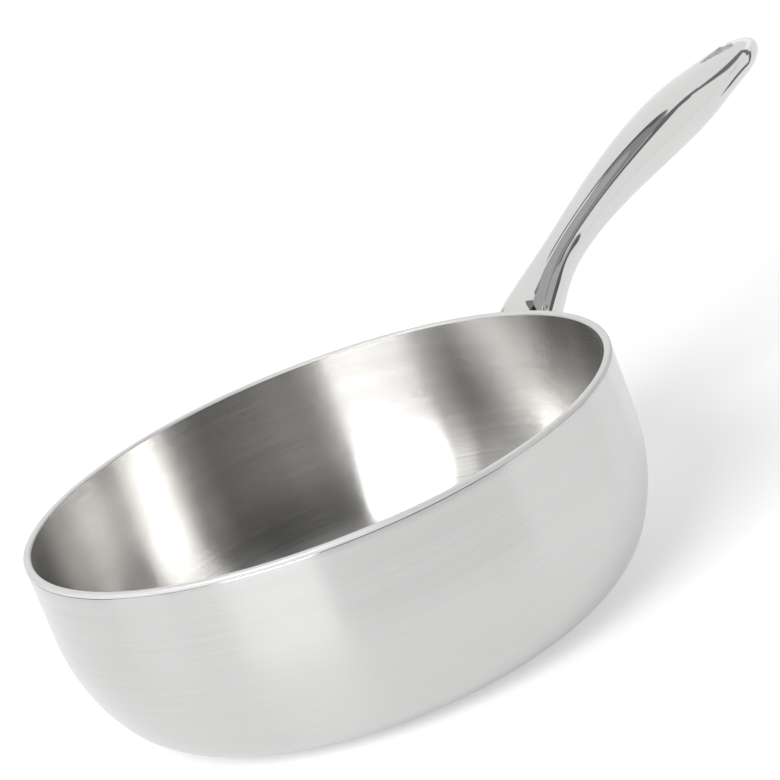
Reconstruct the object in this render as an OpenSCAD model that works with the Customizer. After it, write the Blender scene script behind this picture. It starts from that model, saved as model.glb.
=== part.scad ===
// Saucier pan of five-ply clad steel with a hollow, mirror-polished handle.
// The pan stands on z = 0 with its axis on the Z axis, and the handle points along +X.

/* [Bowl] */
// Inside diameter at the rim, which is the size its lid is sold by
bowl_d = 240; // [200:2:280]
// Height of the rim above the table
bowl_h = 88; // [80:1:100]
// Height of the upright band of wall under the rim
band_h = 32; // [28:1:38]
// Radius of the belly below the band, on the outside
belly_r = 76; // [66:1:100]
// Radius of the corner between belly and base, on the outside
corner_r = 36; // [28:1:44]

/* [Plies] */
// Thickness of the stainless lining that touches the food
lining_t = 0.5; // [0.4:0.1:0.8]
// Thickness of the aluminium alloy ply on each side of the core
alloy_t = 0.4; // [0.3:0.1:0.6]
// Thickness of the pure aluminium ply in the middle
core_t = 1.2; // [0.8:0.1:2.0]
// Thickness of the magnetic stainless skin
skin_t = 0.5; // [0.4:0.1:0.8]

/* [Rim] */
// Height of the turned-over edge that seals the plies
rim_h = 1.8; // [1.4:0.1:2.6]
// How far the turned-over edge stands out past the skin
rim_lip = 0.1; // [0.1:0.05:0.5]
// Radius of the rim's two upper edges
rim_round = 0.8; // [0.5:0.1:1.1]

/* [Saddle] */
// Width of the saddle plate, measured straight across
saddle_w = 38; // [36:1:44]
// Thickness of the saddle plate
saddle_t = 2.2; // [1.6:0.1:3]
// Distance from the rim's top to the plate's upper edge
saddle_drop = 5.2; // [4.4:0.1:5.6]
// Distance that the plate keeps from the foot of the upright band
saddle_margin = 2; // [0.8:0.1:2.4]
// Radius of the plate's corners
saddle_round = 10; // [6:0.5:11]
// Ledge of the plate that shows round the handle's root
saddle_ledge = 2; // [1:0.25:2.5]

/* [Handle line] */
// Reach of the handle from the saddle to its tip
handle_l = 204; // [180:2:224]
// Rise of the handle from its root to its tip
handle_rise = 55.5; // [45:0.5:62]
// Upward slope of the handle's line at the root, in degrees
root_slope = 43; // [34:1:46]
// Upward slope of the handle's line at the tip, in degrees
tip_slope = 6; // [-4:1:10]

/* [Handle sections] */
// Width at the waist, the narrowest place of the neck
waist_w = 19; // [17:0.5:22]
// Width at the fullest place of the grip
grip_w = 30; // [26:0.5:34]
// Width at the tip before its rounding is taken off
end_w = 17.5; // [16:0.5:24]
// Height at the waist
waist_t = 15; // [14:0.5:18]
// Height at the fullest place of the grip
grip_t = 23.5; // [18:0.5:26]
// Height at the tip before its rounding is taken off
end_t = 15; // [12:0.5:18]
// Sheet thickness of the two pressed shells
shell_t = 1.2; // [1:0.1:1.6]

/* [Tongue] */
// Length of the saddle's tongue in the neck, as a share of the handle's line
tongue_share = 0.2; // [0.1:0.01:0.24]
// Clearance round the tongue at the waist
tongue_gap = 0.3; // [0.2:0.05:0.5]

/* [Hanging hole] */
// Radius of the hole's round end
hole_r = 4.5; // [4:0.25:5]
// Radius of the hole's narrow end
hole_small_r = 1.4; // [1:0.1:2]
// Distance between the centres of the hole's two ends
hole_l = 16.5; // [12:0.5:20]
// Distance from the handle's tip to the centre of the round end
hole_inset = 20; // [18:0.5:24]
// Wall of the sleeve that lines the hole
sleeve_t = 1; // [0.8:0.1:1.2]

/* [Smoothness] */
// Sections along the handle before its rounded end
sections = 34; // [24:1:40]
// Sections in the rounded end
end_sections = 8; // [6:1:10]
// Steps round half a section
steps = 18; // [12:2:22]

/* [Hidden] */
$fn = 96;

wall_t = lining_t + 2 * alloy_t + core_t + skin_t;
bowl_r = bowl_d / 2;
skin_r = bowl_r + wall_t;
ply_top = bowl_h - rim_h;
band_z = bowl_h - band_h;

// The belly's arc is centred level with the foot of the band. The corner's arc would lie inside it
// and touch it at one point, and is moved out by a hair so that the two arcs cross cleanly there.
hair = 0.003;
belly_x = skin_r - belly_r;
corner_in = sqrt(pow(belly_r - corner_r, 2) - pow(band_z - corner_r, 2));
corner_x = belly_x + corner_in + hair;
join_angle = atan2(band_z - corner_r, corner_in);

saddle_r = skin_r + saddle_t;
saddle_h = band_h - saddle_drop - saddle_margin;
saddle_z = band_z + saddle_margin + saddle_h / 2;
root_w = saddle_w - 2 * saddle_ledge;
root_t = saddle_h - 2 * saddle_ledge;

// Places on the handle's line, from 0 at the root to 1 at the tip
upright_until = 0.16;
waist_at = 0.29;
grip_at = 0.72;
end_at = 0.92;

// Lengths of the curve's two levers, as shares of the handle's reach
rise_share = 0.26;
fall_share = 0.39;

// The line runs at this many millimetres per unit of place where it reaches the tip
tip_pace = 3 * fall_share * handle_l;
cavity_end = 1 - 1.5 * shell_t / tip_pace;
hole_at = 1 - hole_inset / tip_pace;

// Power of the superellipse that the sections follow, where 2 is a plain ellipse
squareness = 2.25;
// Gathers the sections towards the root, where the handle changes fastest
crowding = 1.25;
tongue_sections = 6;
// How far cutting shapes reach past what they cut
over = 1;

// Bowl

// Half outline of the bowl's outside, moved inwards by off and closed at the height top
module bowl_outline(off, top) {
    join_z = band_z - (belly_r - off) * sin(join_angle);
    intersection() {
        union() {
            translate([0, band_z])
                square([skin_r - off, top - band_z]);
            intersection() {
                translate([belly_x, band_z])
                    circle(r = belly_r - off);
                square([skin_r, band_z]);
            }
        }
        union() {
            translate([0, join_z])
                square([skin_r, top - join_z]);
            intersection() {
                translate([corner_x, corner_r])
                    circle(r = corner_r - off);
                translate([corner_x, 0])
                    square([skin_r, join_z]);
            }
            translate([0, off])
                square([corner_x, join_z - off]);
        }
    }
}

// One ply of the wall and the base, between two depths measured from the outside
module ply(outer, inner) {
    rotate_extrude()
        difference() {
            bowl_outline(outer, ply_top);
            bowl_outline(inner, ply_top + over);
        }
}

// The lining's edge, turned outwards over the ends of the other plies
module rim_section() {
    rim_w = wall_t + rim_lip;
    translate([bowl_r, ply_top])
        square([rim_w, rim_h - rim_round]);
    translate([bowl_r + rim_round, ply_top])
        square([rim_w - 2 * rim_round, rim_h]);
    for (x = [rim_round, rim_w - rim_round])
        translate([bowl_r + x, bowl_h - rim_round])
            circle(r = rim_round);
}

module inner_lining() {
    color("gainsboro") {
        ply(wall_t - lining_t, wall_t);
        rotate_extrude()
            rim_section();
    }
}

module upper_alloy_ply() {
    color("darkgray")
        ply(wall_t - lining_t - alloy_t, wall_t - lining_t);
}

module core_ply() {
    color("silver")
        ply(skin_t + alloy_t, skin_t + alloy_t + core_t);
}

module lower_alloy_ply() {
    color("darkgray")
        ply(skin_t, skin_t + alloy_t);
}

module outer_skin() {
    color("lightgray")
        ply(0, skin_t);
}

// Handle

function ease(u) =
    let (v = min(max(u, 0), 1))
    v * v * (3 - 2 * v);

// A size that passes smoothly from the root through the waist and the grip to the end
function along(t, root, waist, grip, end) =
    t < waist_at ? root + (waist - root) * ease(t / waist_at) :
    t < grip_at ? waist + (grip - waist) * ease((t - waist_at) / (grip_at - waist_at)) :
    grip + (end - grip) * ease((t - grip_at) / (1 - grip_at));

// How much of the section is left in a rounded end that finishes at the place last
function rounding(t, last) =
    t <= end_at ? 1 : sqrt(max(0, 1 - pow((t - end_at) / (last - end_at), 2)));

function half_width(t) = along(t, root_w, waist_w, grip_w, end_w) / 2;
function half_height(t) = along(t, root_t, waist_t, grip_t, end_t) / 2;

// The handle's line, a cubic curve in the upright plane through the pan's axis
line_start = [saddle_r, saddle_z];
line_end = line_start + [handle_l, handle_rise];
line_rise = line_start + rise_share * handle_l * [cos(root_slope), sin(root_slope)];
line_fall = line_end - fall_share * handle_l * [cos(tip_slope), sin(tip_slope)];

function line_point(t) =
    pow(1 - t, 3) * line_start + 3 * pow(1 - t, 2) * t * line_rise
    + 3 * (1 - t) * t * t * line_fall + pow(t, 3) * line_end;

function line_slope(t) =
    let (d = pow(1 - t, 2) * (line_rise - line_start)
        + 2 * (1 - t) * t * (line_fall - line_rise) + t * t * (line_end - line_fall))
    atan2(d[1], d[0]);

// A point of the section at t, y across and v up. Near the root the sections stand upright
// and bend round the bowl, so that the first of them lies on the saddle's face.
function on_section(t, y, v) =
    let (
        p = line_point(t),
        turned = ease(t / upright_until),
        lean = line_slope(t) * turned,
        bend = (saddle_r - sqrt(pow(saddle_r, 2) - y * y)) * (1 - turned)
    )
    [p[0] - bend - v * sin(lean), y, p[1] + v * cos(lean)];

function rounded(c) = sign(c) * pow(abs(c), 2 / squareness);

// Points of the section at t with half axes a and b, from one angle to another
function arc_points(t, a, b, from, to) = [
    for (k = [0 : steps])
        let (angle = from + (to - from) * k / steps)
        on_section(t, a * rounded(cos(angle)), b * rounded(sin(angle)))
];

function outer_arc(t, from, to) =
    let (left = rounding(t, 1))
    arc_points(t, half_width(t) * left, half_height(t) * left, from, to);

function cavity_arc(t, from, to) =
    let (left = rounding(t, cavity_end))
    arc_points(t, (half_width(t) - shell_t) * left, (half_height(t) - shell_t) * left, from, to);

// Places of the sections, gathered at the root and spaced by angle in the rounded end
function places(last) = [
    for (i = [0 : sections - 1]) end_at * pow(i / sections, crowding),
    for (j = [0 : end_sections - 1]) end_at + (last - end_at) * sin(90 * j / end_sections)
];

// The quads between two rings of n points that start at first and at first + n
function band_faces(first, n) = [
    for (k = [0 : n - 1])
        let (a = first + k, b = first + (k + 1) % n)
        each [[a, a + n, b + n], [a, b + n, b]]
];

function flipped(faces) = [for (f = faces) [f[2], f[1], f[0]]];

// One of the two pressed shells: way is 1 for the upper and -1 for the lower
module shell(way) {
    outside = places(1);
    inside = places(cavity_end);
    rings = len(outside);
    n = 2 * (steps + 1);
    last = (rings - 1) * n;
    tip = rings * n;
    pit = tip + 1;
    points = [
        for (i = [0 : rings - 1])
            each concat(outer_arc(outside[i], 0, way * 180), cavity_arc(inside[i], way * 180, 0)),
        on_section(1, 0, 0),
        on_section(cavity_end, 0, 0)
    ];
    sides = [for (i = [0 : rings - 2]) each band_faces(i * n, n)];
    root_edge = [
        for (k = [0 : steps - 1])
            each [[k, k + 1, n - 2 - k], [k, n - 2 - k, n - 1 - k]]
    ];
    outer_end = [for (k = [0 : steps - 1]) [last + k, tip, last + k + 1]];
    cavity_tip = [for (k = [steps + 1 : n - 2]) [last + k, pit, last + k + 1]];
    seam_end = [
        [last + steps, tip, pit], [last + steps, pit, last + steps + 1],
        [tip - 1, pit, tip], [tip - 1, tip, last]
    ];
    faces = concat(sides, root_edge, outer_end, cavity_tip, seam_end);
    polyhedron(points, way > 0 ? faces : flipped(faces));
}

// A closed form lofted through full sections, with flat ends or a pointed far end
module loft(rings, point) {
    n = len(rings[0]);
    count = len(rings);
    last = (count - 1) * n;
    sides = [for (i = [0 : count - 2]) each band_faces(i * n, n)];
    near_end = [for (k = [1 : n - 2]) [0, k, k + 1]];
    far_end = is_undef(point)
        ? [for (k = [1 : n - 2]) [last, last + k + 1, last + k]]
        : [for (k = [0 : n - 1]) [last + k, count * n, last + (k + 1) % n]];
    corners = [for (ring = rings) each ring];
    polyhedron(
        is_undef(point) ? corners : concat(corners, [point]),
        concat(sides, near_end, far_end)
    );
}

function without_last(list) = [for (i = [0 : len(list) - 2]) list[i]];

// Both halves of a ring in one, with no corner twice
function full_ring(upper, lower) = concat(without_last(upper), without_last(lower));

// The handle's outside as one closed form
module handle_form() {
    loft(
        [for (t = places(1)) full_ring(outer_arc(t, 0, 180), outer_arc(t, 180, 360))],
        on_section(1, 0, 0)
    );
}

// The hole's outline carried through the handle: two round ends and the flanks that touch both,
// with the round end at the origin
module teardrop(grow, height) {
    big = hole_r + grow;
    small = hole_small_r + grow;
    touch = acos((big - small) / hole_l);
    flank = [[-big * cos(touch), big * sin(touch)], [-hole_l - small * cos(touch), small * sin(touch)]];
    cylinder(r = big, h = height, center = true);
    translate([-hole_l, 0, 0])
        cylinder(r = small, h = height, center = true);
    linear_extrude(height = height, center = true)
        polygon([flank[0], [flank[0][0], -flank[0][1]], [flank[1][0], -flank[1][1]], flank[1]]);
}

module hole_cutter(grow) {
    p = line_point(hole_at);
    translate([p[0], 0, p[1]])
        rotate([0, -line_slope(hole_at), 0])
            teardrop(grow, 2 * grip_t);
}

module saddle_plate() {
    intersection() {
        difference() {
            translate([0, 0, band_z])
                cylinder(r = saddle_r, h = ply_top - band_z);
            translate([0, 0, band_z - over])
                cylinder(r = skin_r, h = ply_top - band_z + 2 * over);
        }
        translate([skin_r / 2, 0, saddle_z])
            rotate([0, 90, 0])
                linear_extrude(height = saddle_r)
                    union() {
                        square([saddle_h, saddle_w - 2 * saddle_round], center = true);
                        square([saddle_h - 2 * saddle_round, saddle_w], center = true);
                        for (x = [-1, 1], y = [-1, 1])
                            translate([x * (saddle_h / 2 - saddle_round), y * (saddle_w / 2 - saddle_round)])
                                circle(r = saddle_round);
                    }
    }
}

// The tongue starts inside the plate, follows the handle's line and fits the cavity at the waist
module tongue() {
    a = waist_w / 2 - shell_t - tongue_gap;
    b = waist_t / 2 - shell_t - tongue_gap;
    sunk = [for (p = full_ring(arc_points(0, a, b, 0, 180), arc_points(0, a, b, 180, 360)))
        p - [saddle_t / 2, 0, 0]];
    rings = [
        for (i = [1 : tongue_sections])
            let (t = tongue_share * i / tongue_sections)
            full_ring(arc_points(t, a, b, 0, 180), arc_points(t, a, b, 180, 360))
    ];
    loft(concat([sunk], rings));
}

module handle_saddle() {
    color("lightsteelblue") {
        saddle_plate();
        tongue();
    }
}

module handle_upper_shell() {
    color("whitesmoke")
        difference() {
            shell(1);
            hole_cutter(sleeve_t);
        }
}

module handle_lower_shell() {
    color("gainsboro")
        difference() {
            shell(-1);
            hole_cutter(sleeve_t);
        }
}

module hanging_hole_sleeve() {
    color("silver")
        difference() {
            intersection() {
                hole_cutter(sleeve_t);
                handle_form();
            }
            hole_cutter(0);
        }
}

inner_lining();
upper_alloy_ply();
core_ply();
lower_alloy_ply();
outer_skin();
handle_saddle();
handle_upper_shell();
handle_lower_shell();
hanging_hole_sleeve();
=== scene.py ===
"""Looks of the saucier pan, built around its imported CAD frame. Everything is in metres."""

import math

import bpy
import numpy as np
from mathutils import Matrix, Vector


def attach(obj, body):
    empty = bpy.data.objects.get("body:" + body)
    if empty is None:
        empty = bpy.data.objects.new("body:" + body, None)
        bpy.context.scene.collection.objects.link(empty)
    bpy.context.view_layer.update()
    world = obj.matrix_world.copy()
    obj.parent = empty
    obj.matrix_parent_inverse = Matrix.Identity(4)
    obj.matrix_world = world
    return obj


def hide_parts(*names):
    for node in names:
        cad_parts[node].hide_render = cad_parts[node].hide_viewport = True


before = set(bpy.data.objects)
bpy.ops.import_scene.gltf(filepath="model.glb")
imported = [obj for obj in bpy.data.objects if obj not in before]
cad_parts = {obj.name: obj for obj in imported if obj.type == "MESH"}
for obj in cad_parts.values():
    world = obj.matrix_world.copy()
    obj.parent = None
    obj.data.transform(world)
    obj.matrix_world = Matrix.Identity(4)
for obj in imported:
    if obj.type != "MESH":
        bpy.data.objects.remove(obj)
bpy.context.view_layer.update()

MM = 0.001
BODY = "root"

# Sizes of the bowl, as in part.scad, in millimetres
LINING_R = 120.0
WALL_T = 3.0
LINING_T = 0.5
SKIN_T = 0.5
SKIN_R = LINING_R + WALL_T
RIM_Z = 88.0
RIM_H = 1.8
RIM_LIP = 0.1
RIM_ROUND = 0.8
PLY_TOP = RIM_Z - RIM_H
BAND_Z = 56.0
BELLY_R = 76.0
CORNER_R = 36.0
BELLY_X = SKIN_R - BELLY_R
CORNER_IN = math.sqrt((BELLY_R - CORNER_R) ** 2 - (BAND_Z - CORNER_R) ** 2)
CORNER_X = BELLY_X + CORNER_IN
JOIN_ANGLE = math.atan2(BAND_Z - CORNER_R, CORNER_IN)

# Sizes of the saddle and the handle, as in part.scad, in millimetres
SADDLE_W = 38.0
SADDLE_T = 2.2
SADDLE_DROP = 5.2
SADDLE_MARGIN = 2.0
SADDLE_LEDGE = 2.0
SADDLE_R = SKIN_R + SADDLE_T
SADDLE_H = RIM_Z - BAND_Z - SADDLE_DROP - SADDLE_MARGIN
SADDLE_Z = BAND_Z + SADDLE_MARGIN + SADDLE_H / 2
HANDLE_L = 204.0
HANDLE_RISE = 55.5
ROOT_SLOPE = math.radians(43)
TIP_SLOPE = math.radians(6)
RISE_SHARE = 0.26
FALL_SHARE = 0.39
# Widths and heights at the root, the waist, the grip and the tip
WIDTHS = (SADDLE_W - 2 * SADDLE_LEDGE, 19.0, 30.0, 17.5)
HEIGHTS = (SADDLE_H - 2 * SADDLE_LEDGE, 15.0, 23.5, 15.0)
UPRIGHT_UNTIL = 0.16
WAIST_AT = 0.29
GRIP_AT = 0.72
END_AT = 0.92
SQUARENESS = 2.25
CROWDING = 1.25
TIP_PACE = 3 * FALL_SHARE * HANDLE_L
# The rim's outside and the handle lie this far inside the CAD surfaces, whose facets cut their curves short
HAIR = 0.045
HOLE_R = 4.5
HOLE_SMALL_R = 1.4
HOLE_L = 16.5
HOLE_INSET = 20.0
HOLE_AT = 1 - HOLE_INSET / TIP_PACE


# Camera, found from the photograph

HANDLE_TURN = math.radians(40)
CAMERA_DISTANCE = 1.3
CAMERA_AIM_Z = 0.05
CAMERA_ELEVATION = math.radians(18.139)
CAMERA_YAW = math.radians(-1.5785)
CAMERA_PITCH = math.radians(2.0049)
CAMERA_ROLL = math.radians(21.6387)
CAMERA_LENS = 151.17
SENSOR = 36.0


def make_camera():
    """The photographer's camera, in a frame where the handle points along +X."""
    forward = Vector((0, math.cos(CAMERA_ELEVATION), -math.sin(CAMERA_ELEVATION)))
    right = Vector((1, 0, 0))
    up = Vector((0, math.sin(CAMERA_ELEVATION), math.cos(CAMERA_ELEVATION)))
    place = Vector((0, 0, CAMERA_AIM_Z)) - forward * CAMERA_DISTANCE
    for axis, angle in (("up", CAMERA_YAW), ("right", CAMERA_PITCH), ("forward", CAMERA_ROLL)):
        turn = Matrix.Rotation(angle, 3, {"up": up, "right": right, "forward": forward}[axis])
        forward, right, up = turn @ forward, turn @ right, turn @ up
    to_pan = Matrix.Rotation(-HANDLE_TURN, 3, "Z")
    forward, right, up, place = (to_pan @ v for v in (forward, right, up, place))
    data = bpy.data.cameras.new("camera")
    data.lens = CAMERA_LENS
    data.sensor_width = SENSOR
    camera = bpy.data.objects.new("camera", data)
    axes = Matrix((right, up, -forward)).transposed().to_4x4()
    camera.matrix_world = Matrix.Translation(place) @ axes
    bpy.context.scene.collection.objects.link(camera)
    bpy.context.scene.camera = camera
    return camera


camera = make_camera()


# Mesh helpers

ON_AXIS = 1e-9


def add_mesh(name, points, faces, normals, uvs=None):
    """A smooth mesh from points in millimetres, its faces turned to agree with the points' normals."""
    points, normals = np.asarray(points, float), np.asarray(normals, float)
    mesh = bpy.data.meshes.new(name)
    mesh.from_pydata((points * MM).tolist(), [], turned_outwards(points, faces, normals))
    mesh.update()
    mesh.polygons.foreach_set("use_smooth", [True] * len(mesh.polygons))
    if uvs is not None:
        corner = np.zeros(len(mesh.loops), int)
        mesh.loops.foreach_get("vertex_index", corner)
        layer = mesh.uv_layers.new(name="UVMap")
        layer.data.foreach_set("uv", np.asarray(uvs, float)[corner].ravel())
    mesh.normals_split_custom_set_from_vertices(normals.tolist())
    thing = bpy.data.objects.new(name, mesh)
    bpy.context.scene.collection.objects.link(thing)
    return thing


def turned_outwards(points, faces, normals):
    """The faces, each in the order whose own normal agrees with its points' normals."""
    first = np.array([f[:3] for f in faces])
    last = np.array([f[-1] for f in faces])
    a, b, c, d = points[first[:, 0]], points[first[:, 1]], points[first[:, 2]], points[last]
    own = np.cross(b - a, c - a) + np.cross(c - a, d - a)
    meant = normals[first].sum(1)
    good = (own * meant).sum(1) >= 0
    return [tuple(f) if ok else tuple(reversed(f)) for f, ok in zip(faces, good)]


def arc(centre, radius, start, end, count):
    """Points of an arc in the half plane of the bowl's profile, angles in degrees."""
    angles = np.radians(np.linspace(start, end, count))
    return [(centre[0] + radius * math.cos(a), centre[1] + radius * math.sin(a)) for a in angles]


def lathe(name, profile, segments):
    """Revolves an open profile of (radius, height), given so that its left side is outside."""
    profile = np.array(profile, float)
    step = np.diff(profile, axis=0)
    length = np.concatenate([[0], np.cumsum(np.hypot(step[:, 0], step[:, 1]))])
    side = np.stack([step[:, 1], -step[:, 0]], axis=1) / np.hypot(step[:, 0], step[:, 1])[:, None]
    slant = np.vstack([side[:1], side[:-1] + side[1:], side[-1:]])
    slant /= np.linalg.norm(slant, axis=1)[:, None]
    turns = np.repeat(np.linspace(0, 2 * math.pi, segments + 1), len(profile))
    c, s = np.cos(turns), np.sin(turns)
    r, z = np.tile(profile, (segments + 1, 1)).T
    nr, nz = np.tile(slant, (segments + 1, 1)).T
    points = np.stack([r * c, r * s, z], axis=1)
    normals = np.stack([nr * c, nr * s, nz], axis=1)
    uvs = np.stack([turns / (2 * math.pi), np.tile(length / length[-1], segments + 1)], axis=1)
    faces = []
    n = len(profile)
    for i in range(segments):
        for j in range(n - 1):
            a, b = i * n + j, (i + 1) * n + j
            if profile[j][0] < ON_AXIS:
                faces.append((a, b + 1, a + 1))
            elif profile[j + 1][0] < ON_AXIS:
                faces.append((a, b, a + 1))
            else:
                faces.append((a, b, b + 1, a + 1))
    return add_mesh(name, points, faces, normals, uvs)


# Bowl

BOWL_SEGMENTS = 256
FLAT_POINTS = 24
ARC_POINTS = 28
BAND_POINTS = 12
EDGE_POINTS = 5
ROUND_POINTS = 9
EDGE_R = 0.25
GROUND_BAND = 0.1
RIM_FOOT = RIM_Z - RIM_ROUND - GROUND_BAND
# Last step of the lining's profile: it is short, so that the turn at its edge doesn't shade the wall
LAST_STEP = 0.02


def wall_outline(depth, top):
    """The bowl's outline from the axis to the height top, moved inwards by depth."""
    join = math.degrees(JOIN_ANGLE)
    flat = [(r, depth) for r in np.linspace(0, CORNER_X, FLAT_POINTS)]
    corner = arc((CORNER_X, CORNER_R), CORNER_R - depth, -90, -join, ARC_POINTS)
    belly = arc((BELLY_X, BAND_Z), BELLY_R - depth, -join, 0, ARC_POINTS)
    band = [(SKIN_R - depth, z) for z in np.linspace(BAND_Z, top, BAND_POINTS)]
    return flat + corner[1:] + belly[1:] + band[1:]


def make_skin():
    outside = wall_outline(0, PLY_TOP - EDGE_R)
    edge = arc((SKIN_R - EDGE_R, PLY_TOP - EDGE_R), EDGE_R, 0, 90, EDGE_POINTS)[1:]
    inside = wall_outline(SKIN_T, PLY_TOP)[::-1]
    return lathe("outer_skin_brushed", outside + edge + inside, BOWL_SEGMENTS)


def make_lining():
    inside = wall_outline(WALL_T, RIM_FOOT - LAST_STEP) + [(LINING_R, RIM_FOOT)]
    back = wall_outline(WALL_T - LINING_T, PLY_TOP)[::-1]
    return lathe("inner_lining_brushed", (inside + back)[::-1], BOWL_SEGMENTS)


def make_rim():
    """The lining's turned-over edge, which is ground and not brushed."""
    lip_r = SKIN_R + RIM_LIP - HAIR
    outline = [(LINING_R, RIM_FOOT)]
    outline += arc((LINING_R + RIM_ROUND, RIM_Z - RIM_ROUND), RIM_ROUND, 180, 90, ROUND_POINTS)
    outline += arc((lip_r - RIM_ROUND, RIM_Z - RIM_ROUND), RIM_ROUND, 90, 0, ROUND_POINTS)
    outline += arc((lip_r - EDGE_R, PLY_TOP + EDGE_R), EDGE_R, 0, -90, EDGE_POINTS)
    outline.append((LINING_R + LINING_T, PLY_TOP))
    return lathe("rim_ground", outline[::-1], BOWL_SEGMENTS)


# Handle

# Step for slopes, and places just short of the tip, where the surface has no slope of its own
SLOPE_STEP = 1e-4
TIP_S = 2.0
SLOPE_LOW_END = TIP_S - 2e-3
SLOPE_AT_END = TIP_S - 1.5e-3
SLOPE_HIGH_END = TIP_S - 1e-3


def ease(u):
    v = np.clip(u, 0, 1)
    return v * v * (3 - 2 * v)


def along(t, sizes):
    """A size that passes from the root through the waist and the grip to the tip."""
    root, waist, grip, end = sizes
    first = root + (waist - root) * ease(t / WAIST_AT)
    second = waist + (grip - waist) * ease((t - WAIST_AT) / (GRIP_AT - WAIST_AT))
    third = grip + (end - grip) * ease((t - GRIP_AT) / (1 - GRIP_AT))
    return np.where(t < WAIST_AT, first, np.where(t < GRIP_AT, second, third))


LINE = np.array([
    [SADDLE_R, SADDLE_Z],
    [SADDLE_R + RISE_SHARE * HANDLE_L * math.cos(ROOT_SLOPE),
     SADDLE_Z + RISE_SHARE * HANDLE_L * math.sin(ROOT_SLOPE)],
    [SADDLE_R + HANDLE_L - FALL_SHARE * HANDLE_L * math.cos(TIP_SLOPE),
     SADDLE_Z + HANDLE_RISE - FALL_SHARE * HANDLE_L * math.sin(TIP_SLOPE)],
    [SADDLE_R + HANDLE_L, SADDLE_Z + HANDLE_RISE],
])


def line_point(t):
    t = np.asarray(t, float)[..., None]
    return ((1 - t) ** 3 * LINE[0] + 3 * (1 - t) ** 2 * t * LINE[1]
            + 3 * (1 - t) * t * t * LINE[2] + t ** 3 * LINE[3])


def line_slope(t):
    t = np.asarray(t, float)[..., None]
    d = ((1 - t) ** 2 * (LINE[1] - LINE[0]) + 2 * (1 - t) * t * (LINE[2] - LINE[1])
         + t * t * (LINE[3] - LINE[2]))
    return np.arctan2(d[..., 1], d[..., 0])


def rounded(c):
    return np.sign(c) * np.abs(c) ** (2 / SQUARENESS)


def place(s):
    """Place on the handle's line: s is 0 at the root, 1 where the end's rounding starts, 2 at the tip."""
    s = np.asarray(s, float)
    body = END_AT * np.clip(s, 0, 1) ** CROWDING
    return np.where(s <= 1, body, END_AT + (1 - END_AT) * np.sin((s - 1) * math.pi / 2))


def handle_surface(s, angle):
    """Points of the handle's outside."""
    s, angle = np.broadcast_arrays(np.asarray(s, float), np.asarray(angle, float))
    t = place(s)
    left = np.where(s <= 1, 1.0, np.cos(np.clip(s - 1, 0, 1) * math.pi / 2))
    y = along(t, WIDTHS) / 2 * left * rounded(np.cos(angle))
    v = along(t, HEIGHTS) / 2 * left * rounded(np.sin(angle))
    p = line_point(t)
    turned = ease(t / UPRIGHT_UNTIL)
    lean = line_slope(t) * turned
    bend = (SADDLE_R - np.sqrt(SADDLE_R ** 2 - y * y)) * (1 - turned)
    x, z = p[..., 0] - bend - v * np.sin(lean), p[..., 1] + v * np.cos(lean)
    return np.stack([x, y, z], axis=-1)


def handle_normals(s, angle):
    """Unit normals of the handle's outside, which keep its mirror finish free of facets."""
    s, angle = np.broadcast_arrays(np.asarray(s, float), np.asarray(angle, float))
    low = np.clip(s - SLOPE_STEP, 0, SLOPE_LOW_END)
    high = np.clip(s + SLOPE_STEP, SLOPE_STEP, SLOPE_HIGH_END)
    at = np.clip(s, 0, SLOPE_AT_END)
    along_line = handle_surface(high, angle) - handle_surface(low, angle)
    around = handle_surface(at, angle + SLOPE_STEP) - handle_surface(at, angle - SLOPE_STEP)
    n = np.cross(around, along_line)
    n /= np.linalg.norm(n, axis=-1)[..., None]
    tip = np.array([math.cos(TIP_SLOPE), 0, math.sin(TIP_SLOPE)])
    return np.where((s > SLOPE_AT_END)[..., None], tip, n)


# Teardrop hole, measured in the plane of the handle's line

HOLE_POINT = line_point(HOLE_AT)
HOLE_SLOPE = float(line_slope(HOLE_AT))
HOLE_ALONG = np.array([math.cos(HOLE_SLOPE), 0, math.sin(HOLE_SLOPE)])
HOLE_UP = np.array([-math.sin(HOLE_SLOPE), 0, math.cos(HOLE_SLOPE)])
HOLE_ORIGIN = np.array([HOLE_POINT[0], 0, HOLE_POINT[1]])
HOLE_MIDDLE = np.array([-6.5, 0.0])
HOLE_EDGE = 0.7
HOLE_SLOPE_STEP = 1e-4
HALVINGS = 40
SEARCH_REACH = 30.0
SEARCH_ROUNDS = 30
SEARCH_STEP = 1e-5
MOST_S = 0.05
MOST_ANGLE = 0.2
HALF_GRIP = 11
MOST_COSINE = 0.95


def to_hole(points):
    """Points in the hole's own axes: along the handle, across and up."""
    away = points - HOLE_ORIGIN
    return np.stack([away @ HOLE_ALONG, away[..., 1], away @ HOLE_UP], axis=-1)


def from_hole(local):
    across = np.array([0, 1.0, 0])
    in_plane = local[..., :1] * HOLE_ALONG + local[..., 1:2] * across
    return HOLE_ORIGIN + in_plane + local[..., 2:] * HOLE_UP


def hole_distance(x, y):
    """Distance from the teardrop's outline, negative inside."""
    px, py = np.abs(y), -x
    b = (HOLE_R - HOLE_SMALL_R) / HOLE_L
    a = math.sqrt(1 - b * b)
    k = -px * b + py * a
    big = np.hypot(px, py) - HOLE_R
    small = np.hypot(px, py - HOLE_L) - HOLE_SMALL_R
    flank = px * a + py * b - HOLE_R
    return np.where(k < 0, big, np.where(k > a * HOLE_L, small, flank))


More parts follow.
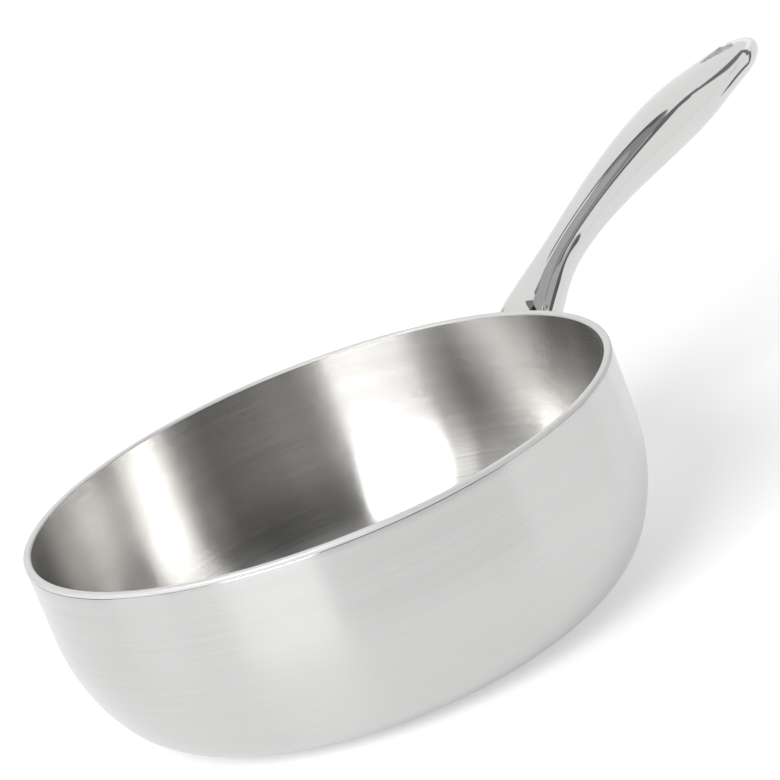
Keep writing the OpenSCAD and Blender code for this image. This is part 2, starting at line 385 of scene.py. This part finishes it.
def hole_outline(angles, grow):
    """Points of the outline moved out by grow, seen from the hole's middle at the angles."""
    low, high = np.zeros_like(angles), np.full_like(angles, SEARCH_REACH)
    for _ in range(HALVINGS):
        middle = (low + high) / 2
        x = HOLE_MIDDLE[0] + middle * np.cos(angles)
        y = HOLE_MIDDLE[1] + middle * np.sin(angles)
        outside = hole_distance(x, y) > grow
        high = np.where(outside, middle, high)
        low = np.where(outside, low, middle)
    return np.stack([x, y], axis=-1)


def hole_inwards(outline):
    """Unit directions from the outline into the hole."""
    x, y, small = outline[..., 0], outline[..., 1], HOLE_SLOPE_STEP
    gx = hole_distance(x + small, y) - hole_distance(x - small, y)
    gy = hole_distance(x, y + small) - hole_distance(x, y - small)
    size = np.hypot(gx, gy)
    return -np.stack([gx / size, gy / size], axis=-1)


def find_on_surface(outline, side):
    """The (s, angle) of the handle's surface over an outline's points; side is 1 above, -1 below."""
    guess_t = HOLE_AT + outline[..., 0] / TIP_PACE
    on_body = (np.clip(guess_t, 0, END_AT) / END_AT) ** (1 / CROWDING)
    on_end = 1 + np.arcsin(np.clip((guess_t - END_AT) / (1 - END_AT), 0, 1)) * 2 / math.pi
    s = np.where(guess_t < END_AT, on_body, on_end)
    angle = side * np.arccos(np.clip(outline[..., 1] / HALF_GRIP, -MOST_COSINE, MOST_COSINE))
    small = SEARCH_STEP
    for _ in range(SEARCH_ROUNDS):
        here = to_hole(handle_surface(s, angle))[..., :2]
        ds = (to_hole(handle_surface(s + small, angle))[..., :2] - here) / small
        da = (to_hole(handle_surface(s, angle + small))[..., :2] - here) / small
        miss = outline - here
        det = ds[..., 0] * da[..., 1] - ds[..., 1] * da[..., 0]
        more_s = (miss[..., 0] * da[..., 1] - miss[..., 1] * da[..., 0]) / det
        more_angle = (ds[..., 0] * miss[..., 1] - ds[..., 1] * miss[..., 0]) / det
        s = s + np.clip(more_s, -MOST_S, MOST_S)
        angle = angle + np.clip(more_angle, -MOST_ANGLE, MOST_ANGLE)
    return s, angle


# Grid of the handle's surface, and the patch of it that is rebuilt round the hole
BODY_RINGS = 150
END_RINGS = 44
AROUND = 96
BODY_S = np.linspace(0, 1, BODY_RINGS + 1)[:-1]
RING_S = np.concatenate([BODY_S, 1 + np.linspace(0, 1, END_RINGS + 1)])
PATCH_FROM = 137
PATCH_TO = 170
PATCH_SIDE = 14
PATCH_RINGS = 10


class Shell:
    """One pressed half of the handle: side 1 is the upper one and -1 the lower."""

    def __init__(self, side):
        self.side = side
        self.s, self.angle, self.faces = [], [], []
        half = AROUND // 2
        self.columns = half + 1
        for s in RING_S[:-1]:
            for k in range(self.columns):
                self.add(s, side * math.pi * k / half)
        tip = self.add(TIP_S, 0.0)
        self.patch_k = range(PATCH_SIDE, half - PATCH_SIDE)
        for i in range(len(RING_S) - 2):
            for k in range(half):
                if PATCH_FROM <= i < PATCH_TO and k in self.patch_k:
                    continue
                a, b = self.at(i, k), self.at(i + 1, k)
                self.faces.append((a, a + 1, b + 1, b))
        last = len(RING_S) - 2
        self.faces += [(self.at(last, k), self.at(last, k + 1), tip) for k in range(half)]
        self.fill_patch()

    def add(self, s, angle):
        self.s.append(float(s))
        self.angle.append(float(angle))
        return len(self.s) - 1

    def at(self, ring, column):
        return ring * self.columns + column

    def fill_patch(self):
        """Rings that pass from the patch's border to the hole's rounded edge."""
        low, high = self.patch_k[0], self.patch_k[-1] + 1
        border = [self.at(PATCH_FROM, k) for k in range(low, high)]
        border += [self.at(i, high) for i in range(PATCH_FROM, PATCH_TO)]
        border += [self.at(PATCH_TO, k) for k in range(high, low, -1)]
        border += [self.at(i, low) for i in range(PATCH_TO, PATCH_FROM, -1)]
        outer_s = np.array([self.s[v] for v in border])
        outer_a = np.array([self.angle[v] for v in border])
        local = to_hole(handle_surface(outer_s, outer_a))
        self.rays = np.arctan2(local[:, 1] - HOLE_MIDDLE[1], local[:, 0] - HOLE_MIDDLE[0])
        inner_s, inner_a = find_on_surface(hole_outline(self.rays, HOLE_EDGE), self.side)
        before = border
        for j in range(1, PATCH_RINGS + 1):
            w = j / PATCH_RINGS
            between_s = outer_s + (inner_s - outer_s) * w
            between_a = outer_a + (inner_a - outer_a) * w
            ring = [self.add(a, b) for a, b in zip(between_s, between_a)]
            n = len(ring)
            for m in range(n):
                after = (m + 1) % n
                self.faces.append((before[m], before[after], ring[after], ring[m]))
            before = ring

    def make(self, name):
        s, angle = np.array(self.s), np.array(self.angle)
        normals = handle_normals(s, angle)
        return add_mesh(name, handle_surface(s, angle) - HAIR * normals, self.faces, normals)


SLEEVE_STEPS = 8
SLEEVE_LEVELS = 5


def make_sleeve(rays):
    """The hole's wall, with the rounded edges that run into the handle's surface."""
    levels, normals = [], []
    bends = np.linspace(0, 90, SLEEVE_STEPS)
    for side, turns in ((1, bends), (-1, bends[::-1])):
        for turn in np.radians(turns):
            outline = hole_outline(rays, HOLE_EDGE * (1 - math.sin(turn)))
            s, angle = find_on_surface(outline, side)
            height = to_hole(handle_surface(s, angle))[:, 2] - side * HOLE_EDGE * (1 - math.cos(turn))
            inwards = hole_inwards(outline)
            wall = from_hole(np.column_stack([inwards, np.zeros(len(rays))])) - HOLE_ORIGIN
            n = math.cos(turn) * handle_normals(s, angle) + math.sin(turn) * wall
            levels.append(from_hole(np.column_stack([outline, height])))
            normals.append(n / np.linalg.norm(n, axis=1)[:, None])
    middle = SLEEVE_STEPS
    for left in range(SLEEVE_LEVELS, 0, -1):
        above, below = levels[middle - 1], levels[-SLEEVE_STEPS]
        levels.insert(middle, above + (below - above) / (left + 1))
        normals.insert(middle, normals[middle - 1])
        middle += 1
    n = len(rays)
    faces = [
        (i * n + m, i * n + (m + 1) % n, (i + 1) * n + (m + 1) % n, (i + 1) * n + m)
        for i in range(len(levels) - 1) for m in range(n)
    ]
    levels, normals = np.concatenate(levels), np.concatenate(normals)
    return add_mesh("hole_sleeve_polished", levels - HAIR * normals, faces, normals)


# Materials

NOISE_LOW = 0.3
NOISE_HIGH = 0.7

# Brushing: lines per metre across it, how far it wanders round the bowl, and its wider bands. Each noise
# has its scale, detail and roughness.
BRUSH_GRAIN = 1300
BRUSH_SPREAD = 1.2
BRUSH_NOISE = (1.0, 3.0, 0.6)
BAND_GRAIN = BRUSH_GRAIN / 4.5
BAND_SPREAD = 0.5
BAND_NOISE = (1.0, 2.0, 0.5)
BAND_SWING = 0.01
BRUSH_TURN = 0.25
BUMP_STRENGTH = 0.02
BUMP_DEPTH = 0.00001
# The lines end this near to the bowl's axis, in metres
NEAR_AXIS = 0.0005

# Unevenness of what is polished or ground by hand
HAZE_NOISE = (60.0, 3.0, 0.55)
HAZE_SWING = 0.3
HAZE_CONTRAST = 0.02

# Rolled aluminium
ROLLED_ROUGH = 0.45
ROLLED_SPREAD = 0.02
ROLLED_FINE = 1.0
ROLLED_NOISE = (900.0, 2.0, 0.5)
ROLLED_DARKEST = 0.93


def new_material(name):
    material = bpy.data.materials.new(name)
    material.use_nodes = True
    nodes = material.node_tree.nodes
    return material, nodes, material.node_tree.links, nodes["Principled BSDF"]


def math_node(nodes, links, operation, a, b=None):
    made = nodes.new("ShaderNodeMath")
    made.operation = operation
    for socket, value in zip(made.inputs, (a, b)):
        if value is None:
            continue
        if isinstance(value, (int, float)):
            socket.default_value = value
        else:
            links.new(value, socket)
    return made.outputs[0]


def noise(nodes, links, where, scale, detail, rough):
    made = nodes.new("ShaderNodeTexNoise")
    made.inputs["Scale"].default_value = scale
    made.inputs["Detail"].default_value = detail
    made.inputs["Roughness"].default_value = rough
    links.new(where, made.inputs["Vector"])
    return made.outputs[0]


def between(nodes, links, value, low, high):
    """Spreads a noise value over the range from low to high."""
    made = nodes.new("ShaderNodeMapRange")
    made.inputs["From Min"].default_value = NOISE_LOW
    made.inputs["From Max"].default_value = NOISE_HIGH
    made.inputs["To Min"].default_value = low
    made.inputs["To Max"].default_value = high
    links.new(value, made.inputs["Value"])
    return made.outputs[0]


def tinted(nodes, links, factor, colour, darkest, lightest):
    """The colour, from its darkest share to its lightest as the factor runs from 0 to 1."""
    made = nodes.new("ShaderNodeMix")
    made.data_type = "RGBA"
    made.inputs["A"].default_value = (*[c * darkest for c in colour], 1)
    made.inputs["B"].default_value = (*[min(1, c * lightest) for c in colour], 1)
    links.new(factor, made.inputs["Factor"])
    return made.outputs["Result"]


def round_the_bowl(nodes, links, spread, fine):
    """Coordinates for lines round the bowl's axis: spread is how they wander, fine how close they lie."""
    parts = nodes.new("ShaderNodeSeparateXYZ")
    links.new(nodes.new("ShaderNodeTexCoord").outputs["Object"], parts.inputs[0])
    x, y, z = parts.outputs

    def compute(operation, a, b=None):
        return math_node(nodes, links, operation, a, b)

    flat = compute("SQRT", compute("ADD", compute("MULTIPLY", x, x), compute("MULTIPLY", y, y)))
    safe = compute("MAXIMUM", flat, NEAR_AXIS)
    joined = nodes.new("ShaderNodeCombineXYZ")
    links.new(compute("MULTIPLY", compute("DIVIDE", x, safe), spread), joined.inputs[0])
    links.new(compute("MULTIPLY", compute("DIVIDE", y, safe), spread), joined.inputs[1])
    links.new(compute("MULTIPLY", compute("ADD", flat, z), fine), joined.inputs[2])
    return joined.outputs[0]


def brushed_steel(name, colour, rough, contrast):
    """Satin stainless, brushed round the bowl's axis."""
    material, nodes, links, shader = new_material(name)
    shader.inputs["Metallic"].default_value = 1.0
    shader.inputs["Anisotropic"].default_value = 1.0
    shader.inputs["Anisotropic Rotation"].default_value = BRUSH_TURN
    tangent = nodes.new("ShaderNodeTangent")
    tangent.direction_type = "UV_MAP"
    tangent.uv_map = "UVMap"
    links.new(tangent.outputs[0], shader.inputs["Tangent"])
    close = round_the_bowl(nodes, links, BRUSH_SPREAD, BRUSH_GRAIN)
    lines = noise(nodes, links, close, *BRUSH_NOISE)
    tone = between(nodes, links, lines, 0.0, 1.0)
    shade = tinted(nodes, links, tone, colour, 1 - contrast, 1 + contrast)
    links.new(shade, shader.inputs["Base Color"])
    loose = round_the_bowl(nodes, links, BAND_SPREAD, BAND_GRAIN)
    bands = noise(nodes, links, loose, *BAND_NOISE)
    spread = between(nodes, links, bands, rough - BAND_SWING, rough + BAND_SWING)
    links.new(spread, shader.inputs["Roughness"])
    bump = nodes.new("ShaderNodeBump")
    bump.inputs["Strength"].default_value = BUMP_STRENGTH
    bump.inputs["Distance"].default_value = BUMP_DEPTH
    links.new(lines, bump.inputs["Height"])
    links.new(bump.outputs[0], shader.inputs["Normal"])
    return material


def polished_steel(name, colour, rough, metallic=1.0):
    """Polished or ground stainless with the faint unevenness of work by hand."""
    material, nodes, links, shader = new_material(name)
    shader.inputs["Metallic"].default_value = metallic
    here = nodes.new("ShaderNodeTexCoord").outputs["Object"]
    haze = noise(nodes, links, here, *HAZE_NOISE)
    spread = between(nodes, links, haze, rough * (1 - HAZE_SWING), rough * (1 + HAZE_SWING))
    links.new(spread, shader.inputs["Roughness"])
    shade = tinted(nodes, links, haze, colour, 1 - HAZE_CONTRAST, 1 + HAZE_CONTRAST)
    links.new(shade, shader.inputs["Base Color"])
    return material


def rolled_aluminium(name, colour):
    """Dull rolled aluminium of the plies that the rim seals in."""
    material, nodes, links, shader = new_material(name)
    shader.inputs["Metallic"].default_value = 1.0
    shader.inputs["Roughness"].default_value = ROLLED_ROUGH
    where = round_the_bowl(nodes, links, ROLLED_SPREAD, ROLLED_FINE)
    grain = noise(nodes, links, where, *ROLLED_NOISE)
    links.new(tinted(nodes, links, grain, colour, ROLLED_DARKEST, 1.0), shader.inputs["Base Color"])
    return material


LINING_COLOUR = (0.69, 0.68, 0.665)
SKIN_COLOUR = (0.62, 0.62, 0.615)
RIM_COLOUR = (0.66, 0.66, 0.655)
SADDLE_COLOUR = (0.66, 0.66, 0.65)
POLISH_COLOUR = (0.68, 0.675, 0.67)
# Painted light: the sleeve is the handle's steel made paler, which lifts the shade inside the hanging hole
SLEEVE_PAINTED_LIGHT_COLOUR = (0.86, 0.855, 0.85)
ALUMINIUM_COLOUR = (0.80, 0.80, 0.81)

lining_steel = brushed_steel("lining_steel", LINING_COLOUR, rough=0.26, contrast=0.09)
skin_steel = brushed_steel("skin_steel", SKIN_COLOUR, rough=0.2, contrast=0.025)
rim_steel = polished_steel("rim_steel", RIM_COLOUR, rough=0.5, metallic=0.35)
saddle_steel = polished_steel("saddle_steel", SADDLE_COLOUR, rough=0.25)
handle_polish = polished_steel("handle_polish", POLISH_COLOUR, rough=0.05)
# The sleeve's paler colour is painted light in the hole; only its greater roughness is the metal's own
sleeve_steel_painted_light = polished_steel("sleeve_steel_painted_light", SLEEVE_PAINTED_LIGHT_COLOUR, rough=0.5)
core_aluminium = rolled_aluminium("core_aluminium", ALUMINIUM_COLOUR)


def dress(thing, material):
    thing.data.materials.clear()
    thing.data.materials.append(material)
    return thing


def put(thing, material, slot, *nodes):
    """Gives a piece its material and its body, and hides the CAD nodes it stands for."""
    dress(thing, material)
    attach(thing, BODY)
    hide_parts(*nodes)
    return thing


for ply in ("upper_alloy_ply", "core_ply", "lower_alloy_ply"):
    dress(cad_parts[ply], core_aluminium)
dress(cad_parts["handle_saddle"], saddle_steel)

put(make_skin(), skin_steel, "skin_steel", "outer_skin")
put(make_lining(), lining_steel, "lining_steel", "inner_lining")
put(make_rim(), rim_steel, "lining_steel", "inner_lining")
upper = Shell(1)
lower = Shell(-1)
put(upper.make("handle_upper_polished"), handle_polish, "handle_polish", "handle_upper_shell")
put(lower.make("handle_lower_polished"), handle_polish, "handle_polish", "handle_lower_shell")
put(make_sleeve(upper.rays), sleeve_steel_painted_light, "handle_polish", "hanging_hole_sleeve")


# Floor, world, softboxes and flags

CAMERA_PLACE = camera.matrix_world.translation
CAMERA_SIDE = math.degrees(math.atan2(CAMERA_PLACE.y, CAMERA_PLACE.x))
STUDIO_R = 4.0
PANEL_STEP = 0.02
FLOOR_HALF = 2.5
FLOOR_GREY = 0.6
FLOOR_GLOW = 0.45
FLOOR_ROUGH = 0.9
FLOOR_Z = -0.0002
WORLD_LEVEL = 1.0
PANEL_COLUMNS = 24
PANEL_ROWS = 12

# Softboxes and flags on a dome round the pan: azimuth from and to, in degrees anticlockwise from the
# camera's side, elevation from and to, and brightness, where the world is 1. Later ones hang before
# earlier ones.
PANELS = {
    "ceiling": (-180, 180, 74, 89, 0.5),
    "ceiling_rear": (55, 184, 66, 74, 0.5),
    "ceiling_side": (-132, -100, 57, 74, 0.25),
    "ceiling_left": (-100, -30, 37, 74, 0.03),
    "ceiling_front": (-30, 55, 47, 70, 0.1),
    "ceiling_near": (50, 74, 50, 66, 0.55),
    "ceiling_far": (74, 168, 57, 66, 0.33),
    "ceiling_edge": (64, 98, 47, 56, 0.18),
    "ceiling_corner": (98, 112, 42, 57, 0.2),
    "ceiling_line": (128, 186, 57, 61, 0.15),
    "ceiling_neck": (182, 200, 69, 75, 0.3),
    "flag_low": (-71, -15, 0, 20, 0.4),
    "softbox_key": (-53, -15, 20, 50, 11.0),
    "softbox_left": (-67, -53, 22, 36, 2.5),
    "softbox_back": (112, 165, 14, 25, 1.2),
    "flag_camera": (-15, 61, 0, 50, 0.01),
    "flag_side": (-131, -95, 0, 34, 0.01),
    "flag_side_low": (-154, -131, 0, 24, 0.01),
    "flag_rear": (103, 110, 0, 44, 0.22),
}
# Small cards close to the handle: the same five values as seen from a place on it, then that place and
# their distance from it
CARDS = {
    "card_tip": (103, 110, -28, 0, 0.22, (0.32, 0.0, 0.128), 0.26),
    "card_neck": (60, 88, 31, 58, 0.52, (0.136, 0.0, 0.084), 0.09),
    "card_neck_edge": (62, 88, 14, 31, 0.14, (0.136, 0.0, 0.084), 0.09),
}


def make_floor():
    """A floor that keeps the pan's shadow; its glow brings it up to white for the camera and metal."""
    mesh = bpy.data.meshes.new("floor")
    signs = [(-1, -1), (1, -1), (1, 1), (-1, 1)]
    corners = [(FLOOR_HALF * x, FLOOR_HALF * y, 0) for x, y in signs]
    mesh.from_pydata(corners, [], [(0, 1, 2, 3)])
    floor = bpy.data.objects.new("floor", mesh)
    floor.location.z = FLOOR_Z
    bpy.context.scene.collection.objects.link(floor)
    material, nodes, links, shader = new_material("floor_white")
    shader.inputs["Base Color"].default_value = (FLOOR_GREY, FLOOR_GREY, FLOOR_GREY, 1)
    shader.inputs["Roughness"].default_value = FLOOR_ROUGH
    shader.inputs["Specular IOR Level"].default_value = 0.0
    shader.inputs["Emission Color"].default_value = (1, 1, 1, 1)
    path = nodes.new("ShaderNodeLightPath").outputs
    seen = math_node(nodes, links, "MAXIMUM", path["Is Camera Ray"], path["Is Glossy Ray"])
    seen = math_node(nodes, links, "MAXIMUM", seen, path["Is Transmission Ray"])
    glow = math_node(nodes, links, "MULTIPLY", seen, FLOOR_GLOW)
    links.new(glow, shader.inputs["Emission Strength"])
    mesh.materials.append(material)


def make_panel(name, azimuths, elevations, level, centre=(0, 0, 0), radius=STUDIO_R):
    """A piece of a dome that shines or shades; the camera looks through it."""
    turns = np.radians(CAMERA_SIDE + np.linspace(*azimuths, PANEL_COLUMNS + 1))
    rises = np.radians(np.linspace(*elevations, PANEL_ROWS + 1))
    turn, rise = np.meshgrid(turns, rises)
    outwards = [np.cos(rise) * np.cos(turn), np.cos(rise) * np.sin(turn), np.sin(rise)]
    points = radius * np.stack(outwards, axis=-1)
    points += np.array(centre)
    row = PANEL_COLUMNS + 1
    starts = [j * row + i for j in range(PANEL_ROWS) for i in range(PANEL_COLUMNS)]
    faces = [(a, a + row, a + row + 1, a + 1) for a in starts]
    mesh = bpy.data.meshes.new(name)
    mesh.from_pydata(points.reshape(-1, 3).tolist(), [], faces)
    panel = bpy.data.objects.new(name, mesh)
    bpy.context.scene.collection.objects.link(panel)
    panel.visible_camera = False
    material, nodes, links, shader = new_material(name)
    shader.inputs["Base Color"].default_value = (0, 0, 0, 1)
    shader.inputs["Specular IOR Level"].default_value = 0.0
    shader.inputs["Roughness"].default_value = 1.0
    shader.inputs["Emission Color"].default_value = (1, 1, 1, 1)
    shader.inputs["Emission Strength"].default_value = level
    mesh.materials.append(material)
    return panel


def make_world():
    world = bpy.data.worlds.new("studio")
    world.use_nodes = True
    bpy.context.scene.world = world
    background = world.node_tree.nodes["Background"]
    background.inputs["Color"].default_value = (1, 1, 1, 1)
    background.inputs["Strength"].default_value = WORLD_LEVEL


make_floor()
make_world()
for count, (name, (turn_from, turn_to, rise_from, rise_to, level)) in enumerate(PANELS.items()):
    radius = STUDIO_R - PANEL_STEP * count
    make_panel(name, (turn_from, turn_to), (rise_from, rise_to), level, radius=radius)
for name, (turn_from, turn_to, rise_from, rise_to, level, centre, radius) in CARDS.items():
    card = make_panel(name, (turn_from, turn_to), (rise_from, rise_to), level, centre, radius)
    card.visible_diffuse = False
    card.visible_shadow = False
bpy.context.scene.view_settings.view_transform = "Standard"
